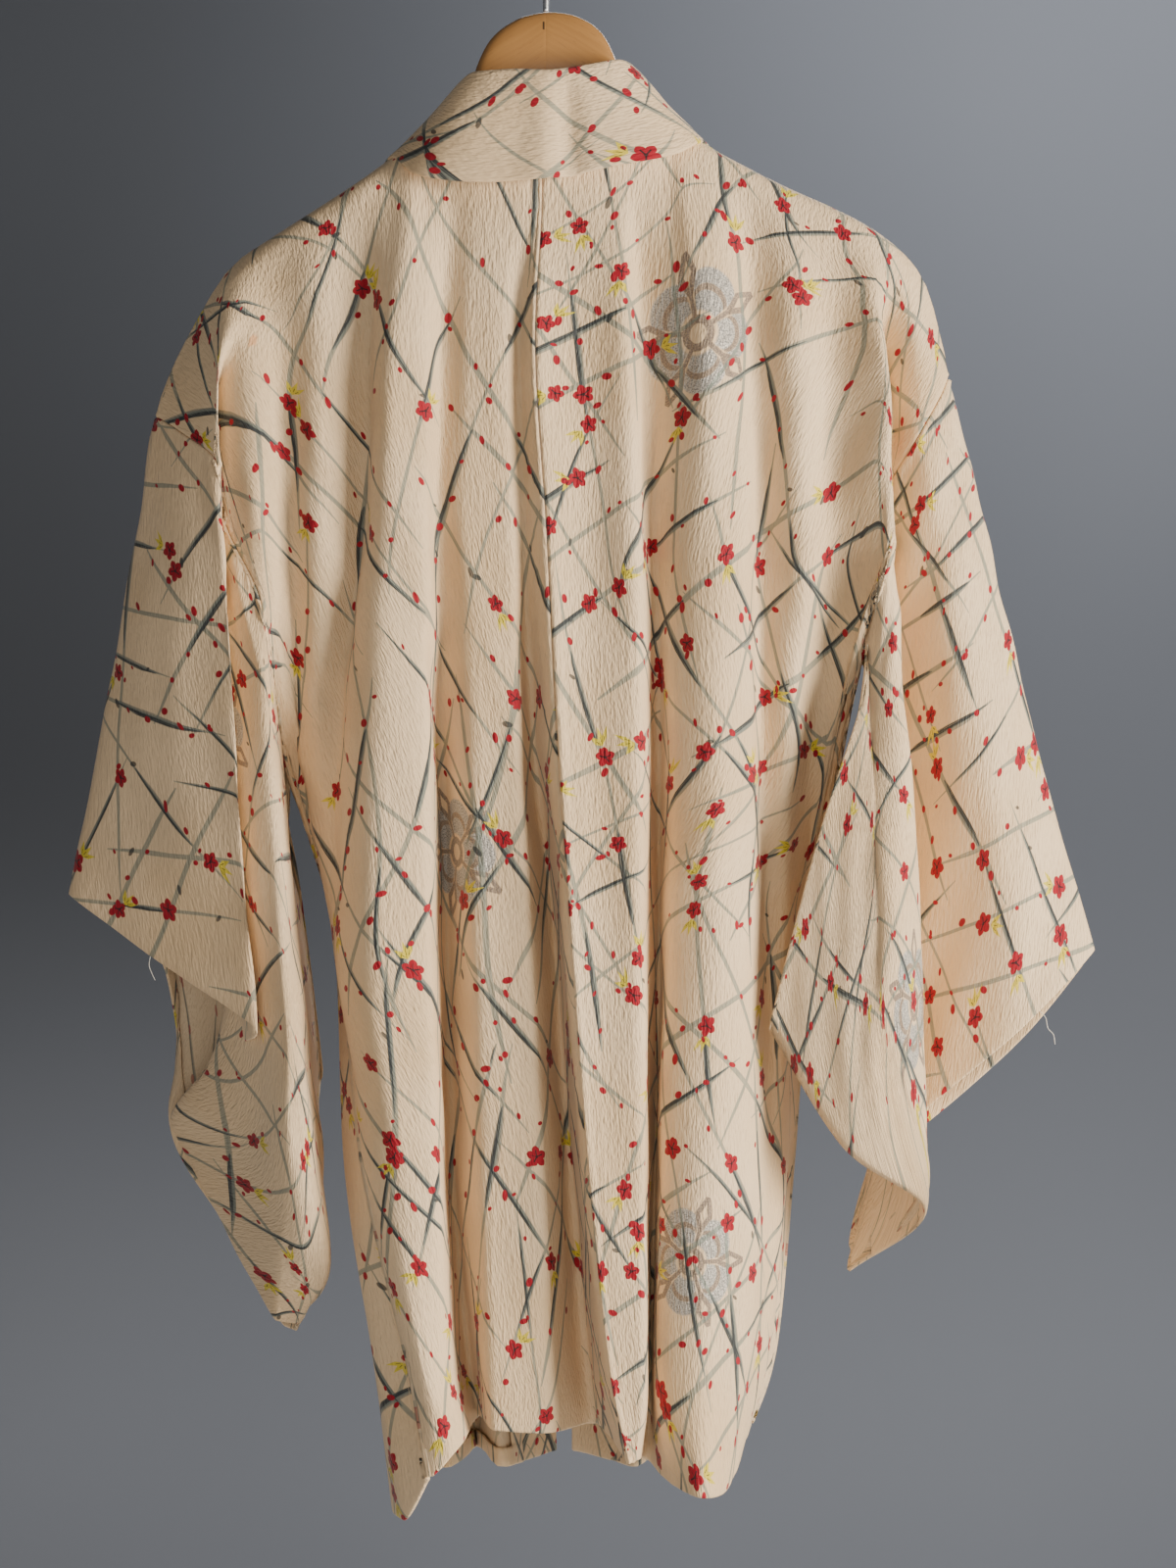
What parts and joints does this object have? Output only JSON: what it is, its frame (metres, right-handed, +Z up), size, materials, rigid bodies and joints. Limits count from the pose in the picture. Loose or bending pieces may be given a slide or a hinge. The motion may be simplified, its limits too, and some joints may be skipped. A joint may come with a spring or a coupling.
{
  "type": "haori jacket on a wooden hanger",
  "caption": "Haori jacket hanging from its back on a contoured wooden hanger, with a folded collar band, square open sleeves, side gussets and an open front.",
  "frame": {"origin": "inside top of the hanger's hook, where a rail carries it", "axes": "+Z up, +X the wearer's right, +Y the wearer's front; the back faces -Y"},
  "size_m": [0.6266, 0.1692, 0.9975],
  "materials": {
    "body_left": "printed silk crepe, matt",
    "body_right": "printed silk crepe, matt",
    "gusset_left": "printed silk crepe, matt",
    "gusset_right": "printed silk crepe, matt",
    "sleeve_left": "printed silk crepe, matt",
    "sleeve_right": "printed silk crepe, matt",
    "collar": "printed silk crepe, matt",
    "hanger_wood": "satin varnish",
    "hanger_hook": "polished wire"
  },
  "bodies": {
    "root": {"body_left": "body_left", "body_right": "body_right", "gusset_left": "gusset_left", "gusset_right": "gusset_right", "sleeve_left": "sleeve_left", "sleeve_right": "sleeve_right", "collar": "collar", "hanger_wood": "hanger_wood", "hanger_hook": "hanger_hook"}
  },
  "joints": []
}
